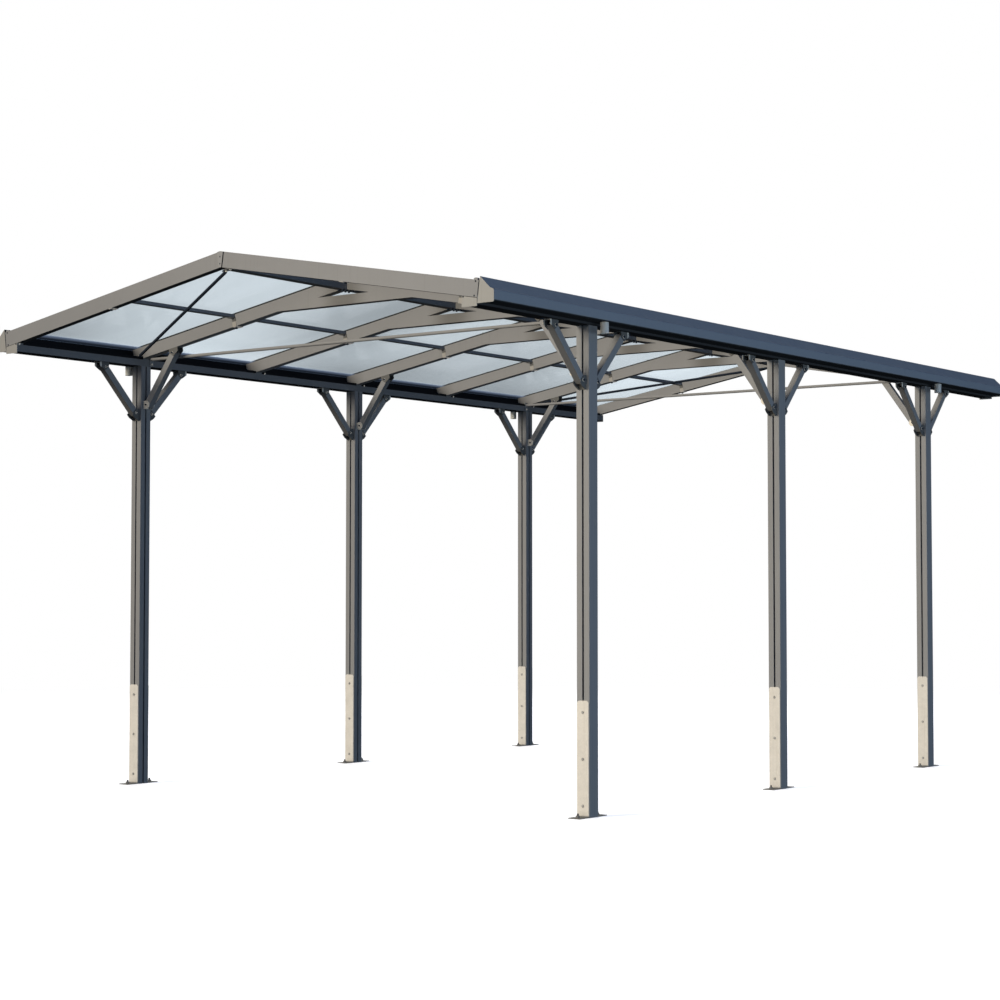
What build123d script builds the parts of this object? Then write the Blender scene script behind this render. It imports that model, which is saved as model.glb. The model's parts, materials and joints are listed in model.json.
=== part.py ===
"""Open carport: six slotted posts, eave beams with gutters, trusses and clear roof panels.

Millimetres. +X runs across the bay, +Y from the front gable to the rear one, +Z up.
The origin is on the floor, midway between the middle pair of posts.
Right-hand and front pieces are drawn once; the others are their mirror images.
Only the diagonal rods are on the left side alone, one at each gable.
"""
from build123d import *
import os
from math import cos, hypot, radians, sin, tan

# ---- posts and feet ---------------------------------------------------------------
post_spacing_x = 2755.0      # centre to centre across the bay
post_spacing_y = 1672.0      # centre to centre along the carport
post_height = 2120.0         # floor to the underside of the eave beam
post_size = 66.0
post_wall = 2.5
post_corner = 1.5
slot_mouth = 9.0             # T-slot: opening, room behind the lips
slot_room_width = 20.0
slot_room_depth = 9.0
slot_lip = 2.5

foot_height = 500.0          # L-shaped foot bracket: upright leg
foot_width = 60.0
foot_flange = 72.0           # leg that lies on the floor, from the post's face
foot_thickness = 4.0
foot_top_corner = 8.0        # bevel
foot_bend = 6.0              # outer radius of the bend
anchor_hole = 12.0
anchor_offset = 42.0         # hole's distance from the post's face
foot_bolt_hole = 8.5         # across the flats of a six-sided hole, covered by a washer
foot_bolt_heights = (50.0, 250.0, 450.0)

# ---- eave beams and gutters -------------------------------------------------------
beam_width = 77.0
beam_height = 44.0
beam_wall = 2.5
gutter_width = 85.0          # from the beam's outer face to the front of the gutter
gutter_height = 101.0
gutter_wall = 2.0
gutter_rise = 10.0           # gutter's floor above the beam's underside
gutter_lip_setback = 16.0    # lip's distance from the beam's outer face
gutter_back_gap = 1.5        # below the roof panels
shoulder_drop = 50.0         # from the lip down to the shoulder
shoulder_width = 18.0        # flat shoulder in front of the sloping face
shoulder_fall = 6.0
gutter_front_radius = 10.0
gutter_bottom_radius = 8.0
outlet_diameter = 38.0
outlet_bore = 34.0
outlet_length = 49.0
outlet_setback = 48.0        # outlet's axis, from the beam's outer face
end_cap = 3.0                # thickness of every end cap
beam_cap_drop = 8.0          # beam's cap hangs this far below the beam
gutter_cap_drop = 7.0        # gutter's cap hangs this far below the gutter
cap_line = 2.0               # gap between the beam's cap and the rake above it
seam = 5.0                   # gap between the gable rake's end and the gutter's cap
seam_foot = 1.5              # the same gap at the foot of the caps

# ---- roof -------------------------------------------------------------------------
roof_pitch = 10.1            # degrees
rafter_thickness = 44.0      # along Y
rafter_height = 59.5         # measured upright
rafter_wall = 2.0
rafter_notch = 3.5           # the rafters are cut this far over the beam's edge
rafter_end_gap = 2.0         # short of the beam's outer face
panel_seat = 11.5            # rafter's top below the rake's top line, upright
panel_thickness = 6.0
panel_gap = 6.0              # between neighbouring panels, over each rafter
panel_ridge_gap = 12.0       # from the ridge line to each panel
panel_overhang = 14.0        # past the beam's outer face, over the gutter
rake_thickness = 38.0
rake_inset = 8.0             # rake's centre line, inwards of three bays from the middle
rake_skin = 8.0              # rake's upright part that hides the panel's edge
rake_end_lean = 9.0          # how far the rake's end leans out at its top
collar_drop = 70.0           # from the ridge beam's underside to the collar's
collar_height = 46.0
ridge_width = 50.0
ridge_wall = 2.5
ridge_cap_reach = 70.0
sheet = 2.0                  # ridge cap and cover strips
cover_width = 50.0
apex_plate_top = 36.0
apex_plate_bottom = 16.0
apex_plate = 5.0

purlin_distance = 712.0      # from the ridge, measured flat
purlin_width = 20.0
purlin_height = 16.0
purlin_wall = 1.5
saddle_width = 24.0
saddle_sheet = 2.5
saddle_reach = 34.0

# ---- bracing ----------------------------------------------------------------------
brace_size = 33.0
brace_wall = 2.0
side_brace_drop = 262.0      # below the beam, where the centre line meets the post's face
side_brace_reach = 250.0     # from the post's face, where it meets the beam
inner_brace_drop = 230.0
inner_brace_reach = 225.0
brace_end_gap = 4.0          # from each face to the tube's nearest corner
brace_bolt_setback = 9.0     # from the tube's end to its bolt
ear_thickness = 3.0
ear_base_thickness = 3.0
ear_inner_reach = 22.0       # along the base plate, from the bolt to each end of the plate
ear_outer_reach = 40.0
ear_crown = 13.0             # bolt's cover on the inner side of the brace
foot_heel = 26.5             # from the brace's centre line to the ear's outer corner, at the foot
foot_heel_rise = 8.0
head_heel = 17.0             # the same at the head, level with the brace's outer side
head_heel_rise = 20.0
heel_half_length = 10.0
round_ear_radius = 20.0      # ears at the inner braces' feet
ear_clearance = 0.3
tie_diameter = 16.0
tie_height = 38.0            # axis above the post tops
tie_bolt_room = 8.0          # between the tie and the inner braces' ears, for the bolt heads
tie_plate = 4.0
tie_plate_clearance = 0.5    # between the tie's end plate and the rafter beside it
tie_plate_rise = 2.0         # plate's lower edge above the beam's underside
rod_diameter = 15.0
rod_tab_width = 22.0
rod_tab_length = 34.0
rod_tab_thickness = 4.0

# ---- worked out from the above ----------------------------------------------------
slope = tan(radians(roof_pitch))
frame_pitch = post_spacing_y / 2
frame_ys = [(k - 2) * frame_pitch for k in range(5)]     # the five trusses
bay_lines = [(k - 3) * frame_pitch for k in range(7)]
rake_y = bay_lines[-1] - rake_inset                      # centre of each gable rake
roof_end = rake_y + rake_thickness / 2                   # face of the rakes
post_x = post_spacing_x / 2
beam_inner = post_x - post_size / 2
beam_outer = beam_inner + beam_width
beam_top = post_height + beam_height
gutter_inner = beam_outer
gutter_outer = gutter_inner + gutter_width
gutter_floor = post_height + gutter_rise
gutter_top = gutter_floor + gutter_height
rafter_end = beam_outer - rafter_end_gap
under_ridge = beam_top - rafter_notch + slope * beam_inner
ridge_underside = under_ridge - slope * ridge_width / 2
rake_height = rafter_height + panel_seat
ear_outer = brace_size / 2 + ear_clearance + ear_thickness
tie_offset = ear_outer + tie_bolt_room + tie_diameter / 2
tie_plate_width = 2 * (tie_offset - rafter_thickness / 2 - tie_plate_clearance)
outlet_x = gutter_inner + outlet_setback
outlet_ys = [-post_spacing_y, post_spacing_y]


def underside(x):
    """Height of the rafters' underside at a distance x from the ridge line."""
    return under_ridge - slope * abs(x)


def rafter_top(x):
    """Height of the rafters' top, which carries the panels."""
    return underside(x) + rafter_height


def roof_line(x):
    """Height of the rakes' top edge, the highest line of the roof."""
    return underside(x) + rake_height


def floor_inside(x):
    """Height of the inside of the rafters' lower wall."""
    return underside(x) + rafter_wall / cos(radians(roof_pitch))


def ceiling_inside(x):
    """Height of the inside of the rafters' upper wall."""
    return rafter_top(x) - rafter_wall / cos(radians(roof_pitch))


def panel_top(x):
    """Height of the roof panels' upper face."""
    return rafter_top(x) + panel_thickness / cos(radians(roof_pitch))


def cover_top(x):
    """Height of the upper face of a sheet that lies on the panels."""
    return panel_top(x) + sheet / cos(radians(roof_pitch))


# ---- helpers ----------------------------------------------------------------------
def band(x0, x1, low, high):
    """Outline between two heights that vary with x, from x0 to x1."""
    return [(x0, low(x0)), (x1, low(x1)), (x1, high(x1)), (x0, high(x0))]


def slab(points, y0, y1):
    """Solid with an outline of (x, z) points, from y0 to y1."""
    wire = Polyline(*[(x, 0, z) for x, z in points], close=True)
    return Pos(0, y0, 0) * extrude(make_face(wire), amount=y1 - y0, dir=(0, 1, 0))


def box(x0, x1, y0, y1, z0, z1):
    """Block between two corners."""
    centre = Pos((x0 + x1) / 2, (y0 + y1) / 2, (z0 + z1) / 2)
    return centre * Box(x1 - x0, y1 - y0, z1 - z0)


def across(shape):
    """Mirror image on the other side of the ridge line."""
    return mirror(shape, about=Plane.YZ)


def end_to_end(shape):
    """Mirror image at the other end of the carport."""
    return mirror(shape, about=Plane.XZ)


def solids_of(shapes):
    """All solids of several shapes, in one list."""
    return [solid for shape in shapes for solid in shape.solids()]


def save(name, shapes):
    """One STEP file for a node, with its separate solids."""
    shapes = shapes if isinstance(shapes, list) else [shapes]
    group = solids_of(shapes)
    export_step(group[0] if len(group) == 1 else Compound(children=group), f"parts/{name}.step")


# ---- posts ------------------------------------------------------------------------
def post_section():
    """Square tube with a T-slot in its front, rear and inner faces, inner face towards -X."""
    half = post_size / 2
    room = half - slot_lip - slot_room_depth
    with BuildSketch() as section:
        Rectangle(post_size, post_size)
        fillet(section.vertices(), post_corner)
        Rectangle(post_size - 2 * post_wall, post_size - 2 * post_wall, mode=Mode.SUBTRACT)
        turned = [Rot(0, 0, turn) for turn in (90, 180, 270)]
        with Locations(*[turn * Pos((half + room - post_wall) / 2, 0) for turn in turned]):
            Rectangle(half - room + post_wall, slot_room_width + 2 * post_wall)
        with Locations(*[turn * Pos(room + slot_room_depth / 2, 0) for turn in turned]):
            Rectangle(slot_room_depth, slot_room_width, mode=Mode.SUBTRACT)
        with Locations(*[turn * Pos(half - slot_lip / 2, 0) for turn in turned]):
            Rectangle(slot_lip, slot_mouth, mode=Mode.SUBTRACT)
    return section.sketch


def post(y):
    """Right-hand post on the floor at y."""
    return Pos(post_x, y, 0) * extrude(post_section(), amount=post_height)


# ---- feet -------------------------------------------------------------------------
def foot_pair(y):
    """Two angle brackets, on the front and the rear face of a right-hand post."""
    face = post_size / 2
    half = foot_width / 2
    upright = box(-half, half, -face - foot_thickness, -face, 0, foot_height)
    flange = box(-half, half, -face - foot_flange, -face, 0, foot_thickness)
    bracket = upright + flange
    top = bracket.edges().filter_by(Axis.Y).sort_by(Axis.Z)[-2:]
    bracket = chamfer(top, foot_top_corner)
    inside = bracket.edges().filter_by(Axis.X).filter_by(
        lambda e: abs(e.center().Y + face + foot_thickness) < 0.01
        and abs(e.center().Z - foot_thickness) < 0.01)
    bracket = fillet(inside, foot_bend)
    bracket -= Pos(0, -face - anchor_offset, 0) * Cylinder(anchor_hole / 2, 4 * foot_thickness)
    hexagon = RegularPolygon(foot_bolt_hole / 2, 6, major_radius=False)
    bore = Rot(90, 0, 0) * extrude(hexagon, amount=foot_thickness)
    for height in foot_bolt_heights:
        bracket -= Pos(0, -face, height) * bore
    return [Pos(post_x, y, 0) * bracket, Pos(post_x, y, 0) * end_to_end(bracket)]


# ---- eave beams and gutters -------------------------------------------------------
def eave_beam():
    """Right-hand hollow beam on the post tops, between the rakes' face skins."""
    length = roof_end - end_cap
    outside = box(beam_inner, beam_outer, -length, length, post_height, beam_top)
    inside = box(beam_inner + beam_wall, beam_outer - beam_wall, -length, length,
                 post_height + beam_wall, beam_top - beam_wall)
    return outside - inside


def gutter_form(y0, y1, inset=0.0, drop=0.0):
    """Closed bar with the gutter's section, or with its inside's at a wall's inset; drop lowers its floor."""
    brow_height = gutter_top - shoulder_drop - shoulder_fall
    points = [(gutter_inner, gutter_top), (gutter_inner + gutter_lip_setback, gutter_top),
              (gutter_outer - shoulder_width, gutter_top - shoulder_drop), (gutter_outer, brow_height),
              (gutter_outer, gutter_floor - drop), (gutter_inner, gutter_floor - drop)]
    face = make_face(Polyline(*[(x, y0, z) for x, z in points], close=True))
    if inset:
        face = offset(face, -inset, kind=Kind.INTERSECTION)
    bar = extrude(face, amount=y1 - y0, dir=(0, 1, 0))
    brow = bar.edges().filter_by(Axis.Y).group_by(Axis.X)[-1].sort_by(Axis.Z)[-1]
    bar = fillet(brow, gutter_front_radius - inset)
    foot = bar.edges().filter_by(Axis.Y).group_by(Axis.X)[-1].sort_by(Axis.Z)[0]
    return fillet(foot, gutter_bottom_radius - inset)


def gutter():
    """Right-hand trough: one thin wall, open at the top between the back and the lip."""
    length = roof_end - end_cap
    body = gutter_form(-length, length) - gutter_form(-length, length, gutter_wall)
    mouth = gutter_inner + gutter_lip_setback
    back_top = rafter_top(gutter_inner) - gutter_back_gap
    body -= box(gutter_inner, gutter_inner + gutter_wall, -length, length, back_top, gutter_top)
    body -= box(gutter_inner, mouth, -length, length, gutter_top - gutter_wall, gutter_top)
    for y in outlet_ys:
        body -= Pos(outlet_x, y, gutter_floor) * Cylinder(outlet_bore / 2, 4 * gutter_wall)
    return body


def outlet(y):
    """Short spigot under the right-hand gutter, with its bore open to the trough."""
    top = gutter_floor
    pipe = Cylinder(outlet_diameter / 2, outlet_length) - Cylinder(outlet_bore / 2, outlet_length)
    return Pos(outlet_x, y, top - outlet_length / 2) * pipe


def front_caps():
    """Right-hand caps at the front: the gutter's and the beam's, two separate plates."""
    face = -roof_end
    low = gutter_floor - gutter_cap_drop
    top = gutter_inner + seam + rake_end_lean * (gutter_top - underside(beam_outer)) / rake_height
    cut = [(gutter_inner - seam, low), (gutter_inner + seam_foot, low),
           (gutter_inner + seam, underside(beam_outer)), (top, gutter_top), (gutter_inner - seam, gutter_top)]
    gutter_cap = gutter_form(face, face + end_cap, drop=gutter_cap_drop) - slab(cut, face, face + end_cap)
    points = [(beam_inner, post_height - beam_cap_drop), (beam_outer, post_height - beam_cap_drop),
              (beam_outer, underside(beam_outer) - cap_line), (beam_inner, underside(beam_inner) - cap_line)]
    return [gutter_cap, slab(points, face, face + end_cap)]


# ---- roof frame -------------------------------------------------------------------
def rafter(y):
    """Right-hand rafter: a box tube from the ridge beam to its seat on the eave beam."""
    x0, x1 = ridge_width / 2, rafter_end
    y0, y1 = y - rafter_thickness / 2, y + rafter_thickness / 2
    tube = slab(band(x0, x1, underside, rafter_top), y0, y1)
    tube -= slab(band(x0, x1, floor_inside, ceiling_inside), y0 + rafter_wall, y1 - rafter_wall)
    return tube - box(beam_inner, beam_outer, y0, y1, post_height, beam_top)


def collar(y):
    """Collar tie: a wedge-ended plate box that closes the foot of each truss's apex."""
    low = ridge_underside - collar_drop
    high = low + collar_height
    x_low = (under_ridge - low) / slope
    x_high = (under_ridge - high) / slope
    half = rafter_thickness / 2
    points = [(-x_low, low), (x_low, low), (x_high, high), (-x_high, high)]
    return slab(points, y - half, y + half)


def front_rake():
    """Right-hand rake of the front gable: a ledge for the panel's edge, and a leaning end."""
    face = -roof_end
    inner = face + rake_thickness
    x0, x1 = 0, beam_outer
    rake = slab(band(x0, x1, underside, roof_line), face, inner)
    leaning = x1 + rake_end_lean
    rake += slab([(x0, underside(x0)), (x1, underside(x1)), (leaning, roof_line(leaning)),
                  (x0, roof_line(x0))], face, face + end_cap)
    ledge = slab([(x0, rafter_top(x0)), (x1 + 1, rafter_top(x1 + 1)), (x1 + 1, roof_line(0) + 1),
                  (x0, roof_line(0) + 1)], face + rake_skin, inner)
    room = slab(band(x0, x1, floor_inside, ceiling_inside), face + rafter_wall, inner - rafter_wall)
    seat = box(beam_inner, beam_outer + rake_end_lean, face + end_cap, inner, post_height, beam_top)
    return rake - ledge - room - seat


def ridge_beam():
    """Hollow five-sided beam under the ridge, from rake to rake."""
    end = roof_end - rake_thickness
    half = ridge_width / 2
    low = ridge_underside
    high = rafter_top(half)
    outline = [(-half, low), (half, low), (half, high), (0, rafter_top(0)), (-half, high)]
    inset = half - ridge_wall
    drop = ridge_wall / cos(radians(roof_pitch))
    room = [(-inset, low + ridge_wall), (inset, low + ridge_wall), (inset, rafter_top(inset) - drop),
            (0, rafter_top(0) - drop), (-inset, rafter_top(inset) - drop)]
    return slab(outline, -end, end) - slab(room, -end, end)


def ridge_cap():
    """Folded sheet over the panels' upper edges."""
    end = roof_end - rake_skin
    reach = ridge_cap_reach
    outline = [(-reach, panel_top(reach)), (0, panel_top(0)), (reach, panel_top(reach)),
               (reach, cover_top(reach)), (0, cover_top(0)), (-reach, cover_top(reach))]
    return slab(outline, -end, end)


def front_apex_plate():
    """Wedge-shaped plate over the joint of the two front rakes."""
    top, bottom = apex_plate_top / 2, apex_plate_bottom / 2
    points = [(-bottom, underside(bottom)), (bottom, underside(bottom)), (top, roof_line(top)),
              (0, roof_line(0)), (-top, roof_line(top))]
    return slab(points, -roof_end - apex_plate, -roof_end)


# ---- roof covering ----------------------------------------------------------------
def panel(bay):
    """Right-hand roof panel of one of the six bays."""
    y0 = bay_lines[bay] + panel_gap / 2
    y1 = bay_lines[bay + 1] - panel_gap / 2
    if bay == 0:
        y0 = -roof_end + rake_skin
    if bay == 5:
        y1 = roof_end - rake_skin
    return slab(band(panel_ridge_gap, beam_outer + panel_overhang, rafter_top, panel_top), y0, y1)


def cover_strip(y):
    """Right-hand strip that clamps two panels' edges down over a rafter."""
    outline = band(ridge_cap_reach, beam_outer, panel_top, cover_top)
    return slab(outline, y - cover_width / 2, y + cover_width / 2)


def on_slope(shape, x, height):
    """Turn a shape from level to the right-hand slope, its origin at x and that height."""
    return Pos(x, 0, height) * Rot(0, roof_pitch, 0) * shape


def purlin(bay):
    """Right-hand purlin of one bay: a tube under the panels, from frame to frame."""
    y0 = bay_lines[bay] + rafter_thickness / 2
    y1 = bay_lines[bay + 1] - rafter_thickness / 2
    if bay == 0:
        y0 = -roof_end + rake_thickness
    if bay == 5:
        y1 = roof_end - rake_thickness
    half = purlin_width / 2
    tube = box(-half, half, y0, y1, -purlin_height, 0)
    tube -= box(-half + purlin_wall, half - purlin_wall, y0, y1, purlin_wall - purlin_height, -purlin_wall)
    return on_slope(tube, purlin_distance, rafter_top(purlin_distance))


def saddle_strap(thickness, front_leg, rear_leg):
    """Strap round the underside of a frame, with a flange under the purlin on each side."""
    depth = rafter_height * cos(radians(roof_pitch))
    half = thickness / 2
    low, flange = -depth, -purlin_height
    outer = half + saddle_sheet
    reach = half + saddle_reach
    width = saddle_width / 2
    parts = box(-width, width, -outer if front_leg else -half, outer if rear_leg else half,
                low - saddle_sheet, low)
    for leg, sign in ((front_leg, -1), (rear_leg, 1)):
        if leg:
            ys = sorted((sign * half, sign * outer))
            parts += box(-width, width, ys[0], ys[1], low - saddle_sheet, flange)
            ys = sorted((sign * half, sign * reach))
            parts += box(-width, width, ys[0], ys[1], flange - saddle_sheet, flange)
    return parts


def saddle(y, thickness=rafter_thickness, front_leg=True, rear_leg=True):
    """Right-hand purlin saddle on the frame at y."""
    strap = saddle_strap(thickness, front_leg, rear_leg)
    return Pos(0, y, 0) * on_slope(strap, purlin_distance, rafter_top(purlin_distance))


# ---- bracing ----------------------------------------------------------------------
def round_ear(drift, rise):
    """Outline of an ear that is eight-sided about its bolt."""
    corner = round_ear_radius / cos(radians(22.5))
    crown = [(drift + corner * cos(radians(turn)), rise + corner * sin(radians(turn)))
             for turn in (22.5, 67.5, 112.5, 157.5)]
    return [(drift - round_ear_radius, 0), (drift + round_ear_radius, 0), *crown]


def heeled_ear(drift, rise, heel, heel_rise, along_heel):
    """Outline of an ear with a corner at the brace's outer side, heel away from its centre line."""
    length = hypot(drift, rise)
    way = 1 if drift > 0 else -1
    run, climb = drift / length, rise / length

    def beside(outwards, along):
        return (drift - way * climb * outwards + run * along, rise + abs(run) * outwards + climb * along)

    near, far = drift + way * ear_inner_reach, drift - way * ear_outer_reach
    return [(near, 0), (far, 0), (far, heel_rise), *[beside(heel, step) for step in along_heel],
            beside(-ear_crown, ear_crown)]


def foot_ear(drift, rise):
    """Ear at a side brace's foot."""
    return heeled_ear(drift, rise, foot_heel, foot_heel_rise, (-heel_half_length, heel_half_length))


def head_ear(drift, rise):
    """Ear at a brace's head."""
    return heeled_ear(drift, rise, head_heel, head_heel_rise, (heel_half_length,))


def brace_parts(foot, head, foot_normal, head_normal, sideways, foot_outline):
    """Tube between two faces, and the eared bracket that holds each end.

    foot and head are where the centre line meets the faces, the normals point out of the
    faces towards the tube, and sideways is the direction along the bolts.
    """
    foot, head, sideways = Vector(*foot), Vector(*head), Vector(*sideways)
    along = (head - foot).normalized()
    ends = []
    brackets = []
    for point, normal, inward, outline in ((foot, Vector(*foot_normal), along, foot_outline),
                                           (head, Vector(*head_normal), -along, head_ear)):
        lean = abs(inward.dot(normal))
        side_step = (1 - lean * lean) ** 0.5
        back = (brace_end_gap + brace_size / 2 * side_step) / lean
        ends.append(point + inward * back)
        bolt = inward * (back + brace_bolt_setback)
        brackets.append(brace_bracket(point, normal, bolt, sideways, outline))
    middle = (ends[0] + ends[1]) * 0.5
    length = (ends[1] - ends[0]).length
    place = Plane(origin=middle, x_dir=sideways, z_dir=along).location
    bore = brace_size - 2 * brace_wall
    return place * (Box(brace_size, brace_size, length) - Box(bore, bore, length)), brackets


def brace_bracket(point, normal, bolt, sideways, outline):
    """Base plate on a face at a point, with an ear on each side of the brace; the bolt is seen from the point."""
    across_face = normal.cross(sideways)
    points = outline(bolt.dot(across_face), bolt.dot(normal))
    place = Plane(origin=point, x_dir=across_face, z_dir=normal).location
    inner = brace_size / 2 + ear_clearance
    side = make_face(Polyline(*points, close=True))
    upright = Rot(90, 0, 0) * extrude(side, amount=ear_thickness, dir=(0, 0, 1))
    ears = Pos(0, -inner, 0) * upright + Pos(0, ear_outer, 0) * upright
    ends = sorted(drift for drift, rise in points if rise == 0)
    base = box(ends[0], ends[1], -ear_outer, ear_outer, 0, ear_base_thickness)
    return place * (ears + base)


def braces(y):
    """Three knee braces of the right-hand post at y, and their six brackets."""
    face = post_size / 2
    tubes, brackets = [], []
    for way in (-1, 1):
        tube, pair = brace_parts((post_x, y + way * face, post_height - side_brace_drop),
                                 (post_x, y + way * (face + side_brace_reach), post_height),
                                 (0, way, 0), (0, 0, -1), (1, 0, 0), foot_ear)
        tubes.append(tube)
        brackets += pair
    head_x = beam_inner - inner_brace_reach
    down = (-sin(radians(roof_pitch)), 0, -cos(radians(roof_pitch)))
    tube, pair = brace_parts((beam_inner, y, post_height - inner_brace_drop),
                             (head_x, y, underside(head_x)), (-1, 0, 0), down, (0, 1, 0), round_ear)
    tubes.append(tube)
    brackets += pair
    return tubes, brackets


def cross_tie(y, inward):
    """Round tie across the bay, with a plate at each end on the beam's inner face."""
    y_axis = y + inward * tie_offset
    height = post_height + tie_height
    tie = Pos(0, y_axis, height) * Cylinder(tie_diameter / 2, 2 * beam_inner, rotation=(0, 90, 0))
    for side in (-1, 1):
        x0, x1 = sorted((side * beam_inner, side * (beam_inner - tie_plate)))
        tie += box(x0, x1, y_axis - tie_plate_width / 2, y_axis + tie_plate_width / 2,
                   post_height + tie_plate_rise, height + tie_diameter)
    return tie


def rod_tab(bolt, along):
    """Flattened end of a rod: a level plate, round about its bolt."""
    heading = Vector(along.X, along.Y, 0).normalized()
    with BuildSketch(Plane(origin=bolt, x_dir=heading, z_dir=(0, 0, 1))) as outline:
        Circle(rod_tab_width / 2)
        with Locations((rod_tab_length / 2, 0)):
            Rectangle(rod_tab_length, rod_tab_width)
    return extrude(outline.sketch, amount=rod_tab_thickness)


def front_rod():
    """Left-hand diagonal rod, from under the ridge at the front gable to a rafter's foot."""
    reach = rod_tab_width / 2 + 2
    high = Vector(-reach, -roof_end + rake_thickness + reach, ridge_underside - rod_tab_thickness)
    low = Vector(-beam_inner - reach, frame_ys[0] - rafter_thickness / 2 - reach, beam_top)
    heading = Vector(low.X - high.X, low.Y - high.Y, 0).normalized()
    lift = Vector(0, 0, rod_diameter / 2 + 1)
    start = high + Vector(0, 0, rod_tab_thickness) - lift + heading * rod_tab_length / 2
    end = low + lift - heading * rod_tab_length / 2
    along = end - start
    rod = Plane(origin=(start + end) * 0.5, z_dir=along.normalized()).location * Cylinder(
        rod_diameter / 2, along.length)
    return rod + rod_tab(high, heading) + rod_tab(low, -heading)


os.makedirs("parts", exist_ok=True)

posts = {"front": -post_spacing_y, "middle": 0.0, "rear": post_spacing_y}
brackets = []
for row, y in posts.items():
    pillar = post(y)
    save(f"{row}_right_post", pillar)
    save(f"{row}_left_post", across(pillar))
    feet = foot_pair(y)
    save(f"{row}_right_foot", feet)
    save(f"{row}_left_foot", [across(foot) for foot in feet])
    tubes, ears = braces(y)
    save(f"{row}_right_knee_braces", tubes)
    save(f"{row}_left_knee_braces", [across(tube) for tube in tubes])
    brackets += ears
save("right_brace_brackets", brackets)
save("left_brace_brackets", [across(ear) for ear in brackets])

sides = {"right": lambda shape: shape, "left": across}
right_caps = front_caps()
right_caps += [end_to_end(cap) for cap in right_caps]
front = front_rake()
saddles = [saddle(y) for y in frame_ys]
saddles += [saddle(-rake_y, rake_thickness, front_leg=False), saddle(rake_y, rake_thickness, rear_leg=False)]
for side, place in sides.items():
    save(f"{side}_eave_beam", place(eave_beam()))
    save(f"{side}_gutter", place(gutter()))
    save(f"{side}_gutter_outlets", [place(outlet(y)) for y in outlet_ys])
    save(f"{side}_eave_end_caps", [place(cap) for cap in right_caps])
    save(f"front_{side}_rake", place(front))
    save(f"rear_{side}_rake", end_to_end(place(front)))
    save(f"{side}_rafters", [place(rafter(y)) for y in frame_ys])
    save(f"{side}_purlins", [place(purlin(bay)) for bay in range(6)])
    save(f"{side}_purlin_saddles", [place(strap) for strap in saddles])
    save(f"{side}_roof_panels", [place(panel(bay)) for bay in range(6)])
    save(f"{side}_cover_strips", [place(cover_strip(y)) for y in frame_ys])

save("truss_collars", [collar(y) for y in frame_ys])
save("ridge_beam", ridge_beam())
save("ridge_cap", ridge_cap())
apex = front_apex_plate()
save("gable_apex_plates", [apex, end_to_end(apex)])
save("front_cross_tie", cross_tie(-post_spacing_y, 1))
save("rear_cross_tie", cross_tie(post_spacing_y, -1))
rod = front_rod()
save("front_diagonal_rods", rod)
save("rear_diagonal_rods", end_to_end(rod))
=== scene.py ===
"""Finish of an open carport: powder-coated tubes, zinc brackets, twin-wall roof panels and fasteners.

Metres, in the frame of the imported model. +X runs across the bay, +Y from the front gable to the
rear one, +Z up, with the origin on the floor below the middle of the bay.
"""

import bpy
import json
import numpy as np
from math import pi, radians
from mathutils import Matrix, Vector

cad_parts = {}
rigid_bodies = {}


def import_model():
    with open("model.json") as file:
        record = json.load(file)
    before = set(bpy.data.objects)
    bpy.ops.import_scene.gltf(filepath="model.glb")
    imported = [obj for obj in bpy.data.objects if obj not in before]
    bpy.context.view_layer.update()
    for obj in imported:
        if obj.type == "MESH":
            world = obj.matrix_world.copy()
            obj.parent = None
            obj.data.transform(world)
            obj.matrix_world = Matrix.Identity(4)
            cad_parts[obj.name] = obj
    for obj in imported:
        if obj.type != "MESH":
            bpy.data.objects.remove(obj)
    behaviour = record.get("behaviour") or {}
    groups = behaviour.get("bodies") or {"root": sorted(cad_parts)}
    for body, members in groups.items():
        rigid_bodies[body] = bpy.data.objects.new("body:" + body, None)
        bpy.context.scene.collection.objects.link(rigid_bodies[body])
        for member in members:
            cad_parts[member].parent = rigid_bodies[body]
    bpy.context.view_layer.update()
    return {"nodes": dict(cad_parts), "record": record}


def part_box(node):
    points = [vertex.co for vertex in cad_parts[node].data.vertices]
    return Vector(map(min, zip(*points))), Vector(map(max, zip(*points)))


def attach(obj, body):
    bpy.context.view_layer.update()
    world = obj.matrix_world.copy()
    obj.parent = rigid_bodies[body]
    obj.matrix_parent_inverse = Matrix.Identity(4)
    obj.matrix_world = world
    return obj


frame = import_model()


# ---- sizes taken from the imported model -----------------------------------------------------
def middle(node, axis):
    """Middle of a node's box along one axis."""
    low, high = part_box(node)
    return (low[axis] + high[axis]) / 2


post_low, post_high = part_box("front_right_post")
beam_low, beam_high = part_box("right_eave_beam")
POST_X = middle("front_right_post", 0)
POST_HALF = (post_high[0] - post_low[0]) / 2
POST_ROWS = np.array([middle(row + "_right_post", 1) for row in ("front", "middle", "rear")])
POST_TOP = post_high[2]
BEAM_INNER = beam_low[0]
BEAM_OUTER = beam_high[0]
BEAM_TOP = beam_high[2]
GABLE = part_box("front_right_rake")[0][1]             # face of the front rakes
TRUSS_ROWS = np.linspace(POST_ROWS[0], POST_ROWS[2], 5)

# ---- sizes that the part's source also has -------------------------------------------------
PITCH = radians(10.1)
SLOPE = np.tan(PITCH)
UNDER_RIDGE = 2.4000                                 # rafters' underside, carried on to the ridge line
RAFTER = 0.0595                                      # upright heights of rafter and rake
RAKE = 0.0710
COVER = 0.0676 + 0.0020                              # top of the cover strips above the rafters' underside
RAFTER_HALF = 0.022                                  # half the thickness along Y of rafter and rake
RAKE_HALF = 0.019
PURLIN_X = 0.712
EAR_FACE = 0.0198                                    # from a brace's centre line to its ears' outer face


def underside(out):
    """Height of the rafters' underside at a distance from the middle plane."""
    return UNDER_RIDGE - SLOPE * out


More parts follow.
